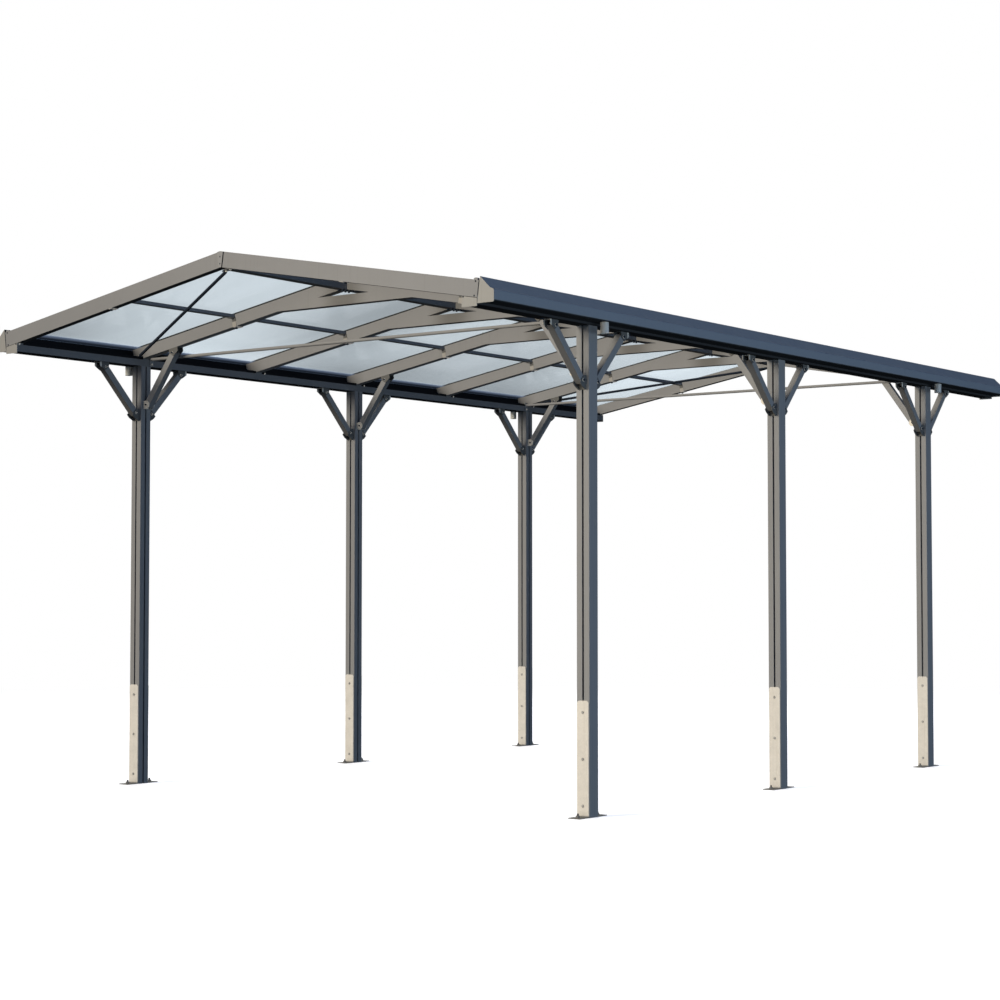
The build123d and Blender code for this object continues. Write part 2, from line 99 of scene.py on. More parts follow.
# ---- camera and light ----------------------------------------------------------------------
CAMERA_PLACE = (6.528, -9.236, 0.956)
CAMERA_TURN = (92.558, 0.0, 36.612)      # degrees
CAMERA_LENS = 76.14
SENSOR = 36.0

KEY_COLOUR = (1.0, 0.905, 0.745)
KEY_FROM = (-0.400, -0.840, 0.366)       # towards the sun-like key
KEY_DISTANCE = 20.0
KEY_SPREAD = 34.0                        # degrees
KEY_POWER = 4.10
SIDE_COLOUR = (0.70, 0.88, 1.06)
SIDE_PLACE = (8.0, -2.0, 1.2)
SIDE_SIZE = (14.0, 2.0)
SIDE_POWER = 320.0
FILL_PLACE = (1.0, -13.0, 1.6)
FILL_SIZE = (1.5, 2.5)
FILL_BEAM = 26.0                         # degrees
FILL_POWER = 8.5
AIM = (0.0, 0.0, 1.6)
BACK_COLOUR = (0.93, 0.96, 1.0)
BACK_PLACE = (-17.0, 20.0, 9.0)
BACK_SIZE = (12.0, 8.0)
BACK_POWER = 9000.0
SKY_LIGHT = (0.01, 0.05, 0.17)
# Words in the names of the pieces that cast no shadow from the key.
UNSHADING = ("roof", "rake", "rafter", "collar", "purlin", "tie", "rod", "cover", "saddle", "ridge",
             "closure")
FLOOR_SIZE = 400.0
FLOOR_BOUNCE = 0.03

# ---- colours, linear -------------------------------------------------------------------------
GREY_PAINT = (0.208, 0.210, 0.213)
# grey paint made bluer on the gutters: painted reflection of the blue sky
GUTTER_SKY_TINTED_PAINT = (0.198, 0.222, 0.250)
# darker copy of the grey paint on the eave beams: painted shade
BEAM_SHADED_PAINT = (0.150, 0.152, 0.155)
CAP_PAINT = (0.262, 0.260, 0.248)
DARK_PAINT = (0.019, 0.025, 0.037)
# dark coat of the brackets; also the painted shade on the purlin straps
BRACKET_PAINT_AND_SHADE = (0.105, 0.105, 0.102)
# dark colour of the rain runs, and of the painted shade on the trusses
DIRT_AND_SHADE = (0.060, 0.056, 0.048)
DEEP_SHADE = (0.016, 0.017, 0.019)             # painted shade: deep shade on faces that look down and under the gutter
DUST = (0.40, 0.38, 0.34)
SHEET_DUST = (0.55, 0.56, 0.54)
ZINC = (0.60, 0.565, 0.500)
STRAP_ZINC = (0.36, 0.34, 0.305)
ZINC_DULL = (0.30, 0.30, 0.29)
ZINC_LOW_DARK = (0.09, 0.09, 0.085)           # floor legs, darker in their lowest centimetre
ZINC_RUNS = (0.30, 0.25, 0.19)
BOLT_ZINC = (0.66, 0.63, 0.56)
FOOT_BOLT_ZINC = (0.36, 0.35, 0.32)
ANCHOR_ZINC = (0.16, 0.155, 0.145)
OUTLET = (0.50, 0.50, 0.47)
# black of the rubber closures; also painted shade on the apex plates' sides and in the rake seams
RUBBER_AND_SHADE = (0.012, 0.012, 0.013)
SHEET_TINT = (0.885, 1.0, 1.08)          # the sheet's colour against its clearness
EAVE_SHADE = (0.050, 0.070, 0.110)       # painted shade where the sheet lies over the gutter
EDGE_PAINTED_LIGHT = (0.060, 0.078, 0.115)        # painted light: a lighter band along the sheet's lower edge, given as a glow

# Tone of the clear sheets in each bay, front to rear, on both slopes: front edge at the ridge and at
# the eave, then rear edge at the ridge and at the eave. It stands in for the light behind the sheets,
# and is not a property of theirs.
BAY_LIGHT_BEHIND = ((0.67, 0.39, 0.68, 0.62), (0.60, 0.80, 0.40, 0.74), (0.40, 0.54, 0.66, 0.40),
                 (0.55, 0.40, 0.58, 0.47), (0.50, 0.40, 0.70, 0.42), (0.82, 0.70, 0.84, 0.74))
RIGHT_GAIN = 1.40                        # brighter light behind the right slope
PANEL_GLARE = 0.03                       # brightness that the sheet's gloss adds at a low angle
PANEL_GAIN = 1.04
PANEL_SHADE = (0.74, 0.80, 0.84)         # light let through by each face of the sheet
RIB_PITCH = 0.006

# ---- zones on the frame and the sheets, in metres --------------------------------------------
EAVE_ZONE = (1.350, 1.415)               # distances from the middle plane where the sheet darkens with painted shade
GLOW_RISE = (1.345, 1.372)               # where its edge glow comes in
GLOW_FADE = (1.374, 1.412)               # and where it fades again
TRUSS_SHADE = ((1.27, 1.41, 0.42),        # shade painted on the trusses: a share that grows from the
              (0.17, 0.02, 0.50))        # first distance to the second, to the eaves and to the ridge
BEAM_FACE = (BEAM_OUTER - 0.0035, BEAM_OUTER + 0.0005)
GUTTER_FOOT = (2.131, 2.137)             # heights over which the beam's face comes out of the shade
APEX_SCREWS = (2.4150, 2.4460)           # heights of the two screws painted on each apex plate
FOOT_EARS_X = (1.262, BEAM_INNER + 0.0005)
FOOT_EARS_Z = (1.870, 1.955)             # brackets at the inner braces' feet
EAR_TIPS_Y = (0.2905, 0.2925)            # tips of the beam brackets, from the nearest post
EAR_TIPS_Z = (2.070, 2.072)


# ---- node helpers ------------------------------------------------------------------------------
class Graph:
    """A node tree with short calls: add a node, set its sockets by name, link outputs to inputs."""

    def __init__(self, tree):
        self.tree = tree
        tree.nodes.clear()

    def add(self, kind, settings=None, **sockets):
        """New node; settings are node properties, sockets are values or outputs for its inputs."""
        node = self.tree.nodes.new(kind)
        for name, value in (settings or {}).items():
            setattr(node, name, value)
        for name, value in sockets.items():
            self.feed(node.inputs[name.replace("_", " ")], value)
        return node

    def feed(self, socket, value):
        """Link an output to a socket, or set the socket to a constant."""
        if isinstance(value, bpy.types.NodeSocket):
            self.tree.links.new(value, socket)
        elif isinstance(value, tuple) and socket.type == "RGBA" and len(value) == 3:
            socket.default_value = (*value, 1.0)
        else:
            socket.default_value = value

    def maths(self, operation, *values):
        """Output of a Math node."""
        node = self.add("ShaderNodeMath", {"operation": operation})
        for socket, value in zip(node.inputs, values):
            self.feed(socket, value)
        return node.outputs[0]

    def vector(self, operation, *values):
        """Output of a Vector Math node that gives a vector."""
        node = self.add("ShaderNodeVectorMath", {"operation": operation})
        for socket, value in zip(node.inputs, values):
            self.feed(socket, value)
        return node.outputs["Vector"]

    def blend(self, share, first, second, how="MIX"):
        """Colour between two, by a share from 0 to 1."""
        node = self.add("ShaderNodeMix", {"data_type": "RGBA", "blend_type": how})
        colours = [socket for socket in node.inputs if socket.type == "RGBA"]
        self.feed(node.inputs["Factor"], share)
        self.feed(colours[0], first)
        self.feed(colours[1], second)
        return next(socket for socket in node.outputs if socket.type == "RGBA")

    def between(self, value, start, end, low=0.0, high=1.0, soft=True):
        """Value mapped from start..end to low..high, held at both ends."""
        kind = "SMOOTHSTEP" if soft else "LINEAR"
        node = self.add("ShaderNodeMapRange", {"interpolation_type": kind}, Value=value)
        for name, number in (("From Min", start), ("From Max", end), ("To Min", low), ("To Max", high)):
            self.feed(node.inputs[name], number)
        return node.outputs["Result"]

    def place(self):
        """Object coordinates."""
        return self.add("ShaderNodeTexCoord").outputs["Object"]

    def parts(self, vector):
        """X, Y and Z of a vector."""
        return self.add("ShaderNodeSeparateXYZ", Vector=vector).outputs

    def grey(self, value):
        """The same value three times over, as a vector."""
        return self.add("ShaderNodeCombineXYZ", X=value, Y=value, Z=value).outputs[0]

    def upward(self):
        """Z of the surface's normal: 1 looks up, -1 looks down."""
        return self.parts(self.add("ShaderNodeNewGeometry").outputs["Normal"])["Z"]

    def length(self, vector):
        """Length of a vector."""
        return self.add("ShaderNodeVectorMath", {"operation": "LENGTH"}, Vector=vector).outputs["Value"]

    def noise(self, vector, scale, detail=2.0, roughness=0.5):
        """Noise value from 0 to 1."""
        return self.add("ShaderNodeTexNoise", Vector=vector, Scale=scale, Detail=detail,
                        Roughness=roughness).outputs["Fac"]

    def inside(self, value, low, high, edge):
        """1 where a value lies between two limits, with soft edges."""
        rise = self.between(value, low - edge, low + edge)
        fall = self.between(value, high - edge, high + edge, 1.0, 0.0)
        return self.maths("MULTIPLY", rise, fall)


def new_material(name):
    """Material with an empty node tree, and its Graph."""
    material = bpy.data.materials.new(name)
    material.use_nodes = True
    return material, Graph(material.node_tree)


def finish_surface(graph, shader):
    """Send a shader to the material's output."""
    graph.add("ShaderNodeOutputMaterial", Surface=shader)


# ---- effects that several materials share --------------------------------------------------------
def new_effect(name, inputs, outputs):
    """Shader node group with named sockets; gives its Graph, its input node and its output node."""
    group = bpy.data.node_groups.new(name, "ShaderNodeTree")
    graph = Graph(group)
    kinds = {"colour": "NodeSocketColor", "value": "NodeSocketFloat"}
    for socket, kind, default in inputs:
        made = group.interface.new_socket(socket, in_out="INPUT", socket_type=kinds[kind])
        made.default_value = (*default, 1.0) if kind == "colour" else default
    for socket, kind in outputs:
        group.interface.new_socket(socket, in_out="OUTPUT", socket_type=kinds[kind])
    return graph, graph.add("NodeGroupInput").outputs, graph.add("NodeGroupOutput").inputs


def make_powder_grain():
    """Powder coat: slow mottling of the shade, and the fine pebbled skin that the powder leaves."""
    graph, given, result = new_effect(
        "powder_grain",
        [("Colour", "colour", GREY_PAINT), ("Mottle", "value", 0.10), ("Pebble", "value", 0.12)],
        [("Colour", "colour"), ("Height", "value"), ("Sheen", "value")])
    place = graph.place()
    slow = graph.noise(place, 5.0, 4.0, 0.6)
    fine = graph.noise(place, 850.0, 1.0)
    cells = graph.add("ShaderNodeTexVoronoi", {"feature": "SMOOTH_F1"}, Vector=place, Scale=1300.0)
    mottle = graph.maths("MULTIPLY", graph.maths("SUBTRACT", slow, 0.5), given["Mottle"])
    speck = graph.maths("MULTIPLY", graph.maths("SUBTRACT", fine, 0.5), given["Pebble"])
    gain = graph.maths("ADD", 1.0, graph.maths("ADD", graph.maths("MULTIPLY", mottle, 2.0), speck))
    graph.feed(result["Colour"], graph.vector("MULTIPLY", given["Colour"], graph.grey(gain)))
    half_fine = graph.maths("MULTIPLY", fine, 0.5)
    graph.feed(result["Height"], graph.maths("ADD", cells.outputs["Distance"], half_fine))
    graph.feed(result["Sheen"], graph.between(slow, 0.3, 0.7, 0.50, 0.62))


def make_rain_streaks():
    """Dried runs of rain: narrow noise drawn out along the height, darker low down."""
    graph, given, result = new_effect(
        "rain_streaks",
        [("Colour", "colour", GREY_PAINT), ("Streak", "colour", DIRT_AND_SHADE), ("Amount", "value", 0.2)],
        [("Colour", "colour")])
    place = graph.place()
    drawn = graph.vector("MULTIPLY", place, (75.0, 75.0, 1.3))
    runs = graph.between(graph.noise(drawn, 1.0, 3.0, 0.6), 0.52, 0.76)
    patchy = graph.between(graph.noise(place, 3.0, 2.0), 0.35, 0.65)
    low = graph.between(graph.parts(place)["Z"], 0.0, 1.2, 1.0, 0.45)
    amount = graph.maths("MULTIPLY", low, given["Amount"])
    share = graph.maths("MULTIPLY", graph.maths("MULTIPLY", runs, patchy), amount)
    graph.feed(result["Colour"], graph.blend(share, given["Colour"], given["Streak"]))


def make_dust_film():
    """Dust that settles on faces which look up, in loose patches."""
    graph, given, result = new_effect(
        "dust_film",
        [("Colour", "colour", GREY_PAINT), ("Dust", "colour", DUST), ("Amount", "value", 0.3)],
        [("Colour", "colour"), ("Cover", "value")])
    lying = graph.between(graph.upward(), 0.55, 0.98)
    patchy = graph.between(graph.noise(graph.place(), 14.0, 4.0, 0.65), 0.30, 0.72)
    cover = graph.maths("MULTIPLY", graph.maths("MULTIPLY", lying, patchy), given["Amount"])
    graph.feed(result["Colour"], graph.blend(cover, given["Colour"], given["Dust"]))
    graph.feed(result["Cover"], cover)


def make_zinc_spangle():
    """Galvanised skin: crystal flakes a few millimetres wide, each its own shade, under a cloudy bloom."""
    graph, given, result = new_effect(
        "zinc_spangle",
        [("Colour", "colour", ZINC), ("Dull", "colour", ZINC_DULL), ("Contrast", "value", 0.12),
         ("Bloom", "value", 0.15)],
        [("Colour", "colour"), ("Height", "value"), ("Polish", "value")])
    place = graph.place()
    drift = graph.add("ShaderNodeTexNoise", Vector=place, Scale=90.0, Detail=1.0).outputs["Color"]
    bent = graph.vector("ADD", place, graph.vector("MULTIPLY", drift, (0.003, 0.003, 0.003)))
    flakes = graph.add("ShaderNodeTexVoronoi", {"feature": "F1"}, Vector=bent, Scale=150.0)
    flake = graph.parts(flakes.outputs["Color"])["X"]
    cloud = graph.noise(place, 22.0, 4.0, 0.6)
    swing = graph.maths("MULTIPLY", graph.maths("SUBTRACT", flake, 0.5), given["Contrast"])
    gain = graph.maths("ADD", 1.0, swing)
    bright = graph.vector("MULTIPLY", given["Colour"], graph.grey(gain))
    share = graph.maths("MULTIPLY", graph.between(cloud, 0.42, 0.75), given["Bloom"])
    graph.feed(result["Colour"], graph.blend(share, bright, given["Dull"]))
    graph.feed(result["Height"], graph.maths("ADD", flake, graph.maths("MULTIPLY", cloud, 0.6)))
    graph.feed(result["Polish"], graph.maths("ADD", graph.between(cloud, 0.3, 0.7, 0.46, 0.60),
                                             graph.maths("MULTIPLY", flake, 0.06)))


def effect(graph, name, **sockets):
    """One of the shared effects, placed in a material."""
    node = graph.add("ShaderNodeGroup", {"node_tree": bpy.data.node_groups[name]})
    for socket, value in sockets.items():
        graph.feed(node.inputs[socket], value)
    return node.outputs


def relief(graph, height, distance, strength=0.35):
    """Normal from a height."""
    bump = graph.add("ShaderNodeBump", Height=height, Distance=distance, Strength=strength)
    return bump.outputs["Normal"]


# ---- materials -------------------------------------------------------------------------------------
COAT_RELIEF = 0.00012                    # height of the powder coat's pebbled skin


def from_middle(graph):
    """Distance from the carport's middle plane."""
    return graph.maths("ABSOLUTE", graph.parts(graph.place())["X"])


def coat_shader(graph, colour, rough, normal):
    """Satin powder coat without its own mirror gloss."""
    shader = graph.add("ShaderNodeBsdfPrincipled", Base_Color=colour, Roughness=rough, Metallic=0.0,
                       Normal=normal)
    shader.inputs["Specular IOR Level"].default_value = 0.0
    return shader.outputs["BSDF"]


def grey_coat(name, colour=GREY_PAINT, streaks=0.22, dust=0.25, shade_zones=(), painted_shade=0.0):
    """Grey powder coat with rain runs and settled dust.

    The zones are given as start, end and share: the coat blends towards a dark colour by that share as the
    distance from the middle plane goes from start to end, which is painted shade. The other share paints deep
    shade on faces that look down and on the beam's outer face under the gutter.
    """
    material, graph = new_material(name)
    base = effect(graph, "powder_grain", Colour=colour, Mottle=0.05, Pebble=0.10)
    shade = effect(graph, "rain_streaks", Colour=base["Colour"], Amount=streaks)["Colour"]
    # painted shade: each zone darkens the coat towards the eaves or the ridge
    for start, end, share in shade_zones:
        zone = graph.between(from_middle(graph), start, end, 0.0, share)
        shade = graph.blend(zone, shade, DIRT_AND_SHADE)
    # painted shade: faces that look down, and the beam's outer face below the gutter, turn towards deep shade
    if painted_shade:
        down = graph.between(graph.upward(), -0.9, -0.4, 1.0, 0.0)
        behind = graph.inside(from_middle(graph), *BEAM_FACE, 0.0002)
        below = graph.between(graph.parts(graph.place())["Z"], *GUTTER_FOOT, 1.0, 0.0)
        shaded = graph.maths("MAXIMUM", down, graph.maths("MULTIPLY", behind, below))
        shade = graph.blend(graph.maths("MULTIPLY", shaded, painted_shade), shade, DEEP_SHADE)
    film = effect(graph, "dust_film", Colour=shade, Amount=dust)
    rough = graph.maths("ADD", base["Sheen"], graph.maths("MULTIPLY", film["Cover"], 0.3))
    bumps = relief(graph, base["Height"], COAT_RELIEF)
    finish_surface(graph, coat_shader(graph, film["Colour"], rough, bumps))
    return material


def apex_coat(name):
    """Apex plates: grey coat on the face, painted black shade on their sides, and two painted screws."""
    material, graph = new_material(name)
    lighter = tuple(1.12 * part for part in GREY_PAINT)
    base = effect(graph, "powder_grain", Colour=lighter, Mottle=0.05, Pebble=0.10)
    place = graph.parts(graph.place())
    face = graph.between(graph.maths("ABSOLUTE", place["Y"]), -GABLE + 0.0040, -GABLE + 0.0047)
    shade = graph.blend(face, RUBBER_AND_SHADE, base["Colour"])
    for height in APEX_SCREWS:
        rise = graph.maths("SUBTRACT", place["Z"], height)
        away = graph.length(graph.add("ShaderNodeCombineXYZ", X=place["X"], Z=rise).outputs[0])
        shade = graph.blend(graph.between(away, 0.0034, 0.0042, 0.85, 0.0), shade, DARK_PAINT)
    bumps = relief(graph, base["Height"], COAT_RELIEF)
    finish_surface(graph, coat_shader(graph, shade, base["Sheen"], bumps))
    return material


def dark_coat(name):
    """Dark powder coat on the rods, and the blackened fasteners."""
    material, graph = new_material(name)
    base = effect(graph, "powder_grain", Colour=DARK_PAINT, Mottle=0.08, Pebble=0.14)
    film = effect(graph, "dust_film", Colour=base["Colour"], Amount=0.12)
    bumps = relief(graph, base["Height"], COAT_RELIEF)
    finish_surface(graph, coat_shader(graph, film["Colour"], base["Sheen"], bumps))
    return material


def bracket_coat(name):
    """Brace brackets: dark coat, and bare zinc at the inner braces' feet and on the beam brackets' tips."""
    material, graph = new_material(name)
    coat = effect(graph, "powder_grain", Colour=BRACKET_PAINT_AND_SHADE, Mottle=0.10, Pebble=0.14)
    metal = effect(graph, "zinc_spangle", Contrast=0.2, Bloom=0.3)
    place = graph.parts(graph.place())
    feet = graph.maths("MULTIPLY", graph.inside(graph.maths("ABSOLUTE", place["X"]), *FOOT_EARS_X, 0.0004),
                       graph.inside(place["Z"], *FOOT_EARS_Z, 0.0005))
    from_post = graph.maths("PINGPONG", graph.maths("ABSOLUTE", place["Y"]), POST_ROWS[2] / 2)
    tips = graph.maths("MULTIPLY", graph.between(from_post, *EAR_TIPS_Y),
                       graph.between(place["Z"], *EAR_TIPS_Z))
    bare = graph.maths("MAXIMUM", feet, graph.maths("MULTIPLY", tips, 0.8))
    shade = graph.blend(bare, coat["Colour"], metal["Colour"])
    rough = graph.maths("ADD", graph.maths("MULTIPLY", bare, -0.06), coat["Sheen"])
    film = effect(graph, "dust_film", Colour=shade, Amount=0.15)
    bumps = relief(graph, coat["Height"], COAT_RELIEF)
    finish_surface(graph, coat_shader(graph, film["Colour"], rough, bumps))
    return material


def zinc(name, colour=ZINC, metal=0.35, floor_leg=False, strap=False):
    """Galvanised steel, darker at a floor leg's foot; a strap gets painted shade up the rafter's side."""
    material, graph = new_material(name)
    skin = effect(graph, "zinc_spangle", Colour=colour, Contrast=0.07, Bloom=0.10)
    runs = effect(graph, "rain_streaks", Colour=skin["Colour"], Streak=ZINC_RUNS, Amount=0.20)
    shade = runs["Colour"]
    place = graph.parts(graph.place())
    if floor_leg:
        shade = graph.blend(graph.between(place["Z"], 0.0045, 0.0120, 0.88, 0.0), shade, ZINC_LOW_DARK)
    # painted shade: the strap's upper part, up the rafter's side, turns dark
    if strap:
        fall = graph.maths("MULTIPLY", graph.maths("ABSOLUTE", place["X"]), SLOPE)
        above = graph.maths("SUBTRACT", place["Z"], graph.maths("SUBTRACT", UNDER_RIDGE, fall))
        shade = graph.blend(graph.between(above, 0.020, 0.027, 0.0, 0.93), shade, BRACKET_PAINT_AND_SHADE)
    film = effect(graph, "dust_film", Colour=shade, Amount=0.10)
    shader = graph.add("ShaderNodeBsdfPrincipled", Base_Color=film["Colour"], Roughness=skin["Polish"],
                       Metallic=metal, Normal=relief(graph, skin["Height"], 0.00015, 0.3))
    shader.inputs["Specular IOR Level"].default_value = 0.1
    finish_surface(graph, shader.outputs["BSDF"])
    return material


def bay_light_behind(graph, place):
    """Painted light behind the sheet: each bay blends its four corner values.

    Down the slope the blend follows the square of the distance from 0.3 m to 1.3 m, and along the
    carport it is a smooth step over the bay's middle eight tenths.
    """
    down = graph.between(graph.maths("ABSOLUTE", place["X"]), 0.30, 1.30, soft=False)
    down = graph.maths("MULTIPLY", down, down)
    pitch = (POST_ROWS[1] - POST_ROWS[0]) / 2
    along = graph.maths("ADD", graph.maths("DIVIDE", place["Y"], pitch), 3.0)
    total = 0.0
    for number, (front_ridge, front_eave, rear_ridge, rear_eave) in enumerate(BAY_LIGHT_BEHIND):
        front = graph.maths("ADD", front_ridge, graph.maths("MULTIPLY", down, front_eave - front_ridge))
        rear = graph.maths("ADD", rear_ridge, graph.maths("MULTIPLY", down, rear_eave - rear_ridge))
        share = graph.between(along, number + 0.1, number + 0.9)
        level = graph.maths("ADD", graph.maths("MULTIPLY", front, graph.maths("SUBTRACT", 1.0, share)),
                            graph.maths("MULTIPLY", rear, share))
        here = graph.maths("COMPARE", along, number + 0.5, 0.5)
        total = graph.maths("ADD", total, graph.maths("MULTIPLY", here, level))
    return total


def panel_sheet(name):
    """Clear twin-wall sheet, which lamps shine through.

    Ribs run down the slope, the tone differs from bay to bay as painted light from behind the sheet,
    and a faint painted glow lies along the lower edge.
    """
    material, graph = new_material(name)
    whole = graph.place()
    place = graph.parts(whole)
    # painted light: the tone of each bay, brighter on the right slope, stands in for light behind the sheet
    clear = bay_light_behind(graph, place)
    clear = graph.maths("MULTIPLY", clear, graph.between(place["X"], -0.1, 0.1, 1.0, RIGHT_GAIN))
    cloud = graph.noise(graph.vector("MULTIPLY", whole, (1.2, 3.0, 1.0)), 2.2, 3.0, 0.5)
    clear = graph.maths("MULTIPLY", clear, graph.between(cloud, 0.3, 0.7, 0.99, 1.01))
    bands = graph.noise(graph.vector("MULTIPLY", whole, (0.4, 26.0, 0.4)), 1.0, 1.0)
    clear = graph.maths("MULTIPLY", clear, graph.between(bands, 0.3, 0.7, 0.99, 1.01))
    wave = graph.maths("SINE", graph.maths("MULTIPLY", place["Y"], 2 * pi / RIB_PITCH))
    rib = graph.between(wave, 0.80, 0.97)
    clear = graph.maths("MULTIPLY", clear, graph.maths("SUBTRACT", 1.0, graph.maths("MULTIPLY", rib, 0.10)))
    tone = graph.maths("MULTIPLY", graph.maths("SUBTRACT", clear, PANEL_GLARE), PANEL_GAIN)
    tone = graph.maths("MINIMUM", graph.maths("MAXIMUM", tone, 0.02), 0.92)
    colour = graph.vector("MULTIPLY", SHEET_TINT, graph.grey(tone))
    out = from_middle(graph)
    colour = graph.blend(graph.between(out, *EAVE_ZONE, 0.0, 0.92), colour, EAVE_SHADE)
    # painted light: a faint glow along the sheet's lower edge
    edge = graph.maths("MULTIPLY", graph.between(out, *GLOW_RISE), graph.between(out, *GLOW_FADE, 1.0, 0.12))
    glow = graph.blend(edge, (0.0, 0.0, 0.0), EDGE_PAINTED_LIGHT)
    film = effect(graph, "dust_film", Colour=colour, Dust=SHEET_DUST, Amount=0.05)
    rough = graph.between(cloud, 0.3, 0.7, 0.10, 0.18)
    normal = relief(graph, graph.maths("ADD", wave, graph.maths("MULTIPLY", cloud, 0.2)), 0.00008, 0.10)
    shader = graph.add("ShaderNodeBsdfPrincipled", Base_Color=film["Colour"], Roughness=rough, IOR=1.03,
                       Transmission_Weight=1.0, Normal=normal, Emission_Color=glow, Emission_Strength=1.0)
    path = graph.add("ShaderNodeLightPath")
    lamp = graph.maths("MAXIMUM", path.outputs["Is Shadow Ray"], path.outputs["Is Diffuse Ray"])
    open_sheet = graph.add("ShaderNodeBsdfTransparent", Color=PANEL_SHADE)
    both = graph.add("ShaderNodeMixShader", Fac=lamp)
    graph.feed(both.inputs[1], shader.outputs["BSDF"])
    graph.feed(both.inputs[2], open_sheet.outputs[0])
    finish_surface(graph, both.outputs[0])
    return material


def plastic(name):
    """Light grey moulded plastic with a fine skin."""
    material, graph = new_material(name)
    skin = effect(graph, "powder_grain", Colour=OUTLET, Mottle=0.06, Pebble=0.06)
    shade = effect(graph, "rain_streaks", Colour=skin["Colour"], Amount=0.25)["Colour"]
    finish_surface(graph, coat_shader(graph, shade, 0.45, relief(graph, skin["Height"], 0.0001)))
    return material


def rubber(name):
    """Black rubber, matt and slightly rippled; its black also serves as painted shade."""
    material, graph = new_material(name)
    skin = effect(graph, "powder_grain", Colour=RUBBER_AND_SHADE, Mottle=0.2, Pebble=0.2)
    finish_surface(graph, coat_shader(graph, skin["Colour"], 0.8, relief(graph, skin["Height"], 0.0002)))
    return material


def dress_frame():
    """Give every CAD node its finish: by the record's slot, or by family where one has its own finish."""
    finishes = {"grey_paint": grey_coat("grey_powder_coat"),
                "dark_paint": dark_coat("dark_powder_coat"),
                "galvanised_steel": zinc("foot_zinc", floor_leg=True),
                "clear_panel": panel_sheet("twin_wall_sheet"),
                "outlet_plastic": plastic("outlet_plastic")}
    # The eave, gutter, beam and brace coats carry painted shade on faces that look down.
    rake = grey_coat("eave_coat", painted_shade=0.85)
    truss = grey_coat("truss_coat", shade_zones=TRUSS_SHADE)
    families = {"saddles": zinc("saddle_zinc", STRAP_ZINC, strap=True),
                "brackets": bracket_coat("bracket_coat"),
                "rafters": truss,
                "collars": truss,
                "gutter": grey_coat("gutter_coat", GUTTER_SKY_TINTED_PAINT, painted_shade=0.85),
                "rake": rake,
                "eave_beam": grey_coat("beam_coat", BEAM_SHADED_PAINT, painted_shade=0.85),
                "knee_braces": grey_coat("brace_coat", painted_shade=0.75),
                "end_caps": grey_coat("cap_coat", CAP_PAINT),
                "apex_plates": apex_coat("apex_plate_coat")}
    for entry in frame["record"]["subparts"]:
        node = entry["node"]
        finish = finishes[entry["material_slot"]]
        for family, own in families.items():
            if node.endswith(family):
                finish = own
        slots = frame["nodes"][node].data.materials
        slots.clear()
        slots.append(finish)


# ---- fasteners and seals ---------------------------------------------------------------------------
# Heads and nuts in millimetres: width across the flats, height, and a washer's radius and thickness.
FOOT_HEAD = (9.0, 3.2, 6.8, 1.2)
ANCHOR_NUT = (16.0, 7.0, 10.0, 1.8)
BRACE_HEAD = (10.0, 4.0)
RAFTER_FOOT_HEAD = (8.0, 3.6, 6.0, 1.0)
BEAM_HEAD = (10.0, 4.0, 7.0, 1.0)
TIE_PLATE_HEAD = (8.0, 3.4, 5.6, 1.0)
STRAP_HEAD = (13.0, 5.5)
PURLIN_HEAD = (13.0, 5.5, 8.0, 1.4)
RIDGE_NUT = (10.0, 6.4, 6.6, 1.0)
ROD_HEAD = (10.0, 4.0, 7.5, 1.0)
COVER_HEAD = (8.0, 4.2, 7.0, 2.2)
SCREW_HEAD = (3.6, 1.8)                  # radius and height of a pan head
BRACE_WASHER = 1.2                       # thickness

# Copies of one corner: to both long sides, to both gables, or to all four corners.
SIDES = ((1, 1), (-1, 1))
GABLES = ((1, 1), (1, -1))
CORNERS = ((1, 1), (-1, 1), (1, -1), (-1, -1))

UP = (0.0, 0.0, 1.0)
DOWN = (0.0, 0.0, -1.0)
FORWARD = (0.0, -1.0, 0.0)
INWARD = (-1.0, 0.0, 0.0)                # on the right-hand side


def add_piece(name, points, faces, material, crease=35.0):
    """Mesh object in the frame's own metres, riding on the carport."""
    mesh = bpy.data.meshes.new(name)
    mesh.from_pydata(points.reshape(-1, 3).tolist(), [], faces)
    mesh.materials.append(material)
    mesh.shade_smooth()
    mesh.set_sharp_from_angle(angle=radians(crease))
    piece = bpy.data.objects.new(name, mesh)
    bpy.context.scene.collection.objects.link(piece)
    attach(piece, "root")


def grid_faces(count, rings, sides):
    """Faces of closed shells: quads round and along each one, and a flat face at both ends."""
    ring, side = np.meshgrid(np.arange(rings - 1), np.arange(sides), indexing="ij")
    beside = (side + 1) % sides
    quads = np.stack([ring * sides + side, ring * sides + beside, (ring + 1) * sides + beside,
                      (ring + 1) * sides + side], axis=-1).reshape(1, -1, 4)
    start = (np.arange(count) * rings * sides)[:, None]
    quads = (quads + start[:, :, None]).reshape(-1, 4)
    low = start + np.arange(sides)[::-1]
    high = start + (rings - 1) * sides + np.arange(sides)
    return quads.tolist() + low.tolist() + high.tolist()


def frames_along(axes):
    """Unit axes, and two directions square to each one."""
    axes = np.asarray(axes, float)
    axes = axes / np.linalg.norm(axes, axis=1, keepdims=True)
    helper = np.where(np.abs(axes[:, 2:3]) < 0.9, (0.0, 0.0, 1.0), (1.0, 0.0, 0.0))
    first = np.cross(helper, axes)
    first = first / np.linalg.norm(first, axis=1, keepdims=True)
    return axes, first, np.cross(axes, first)


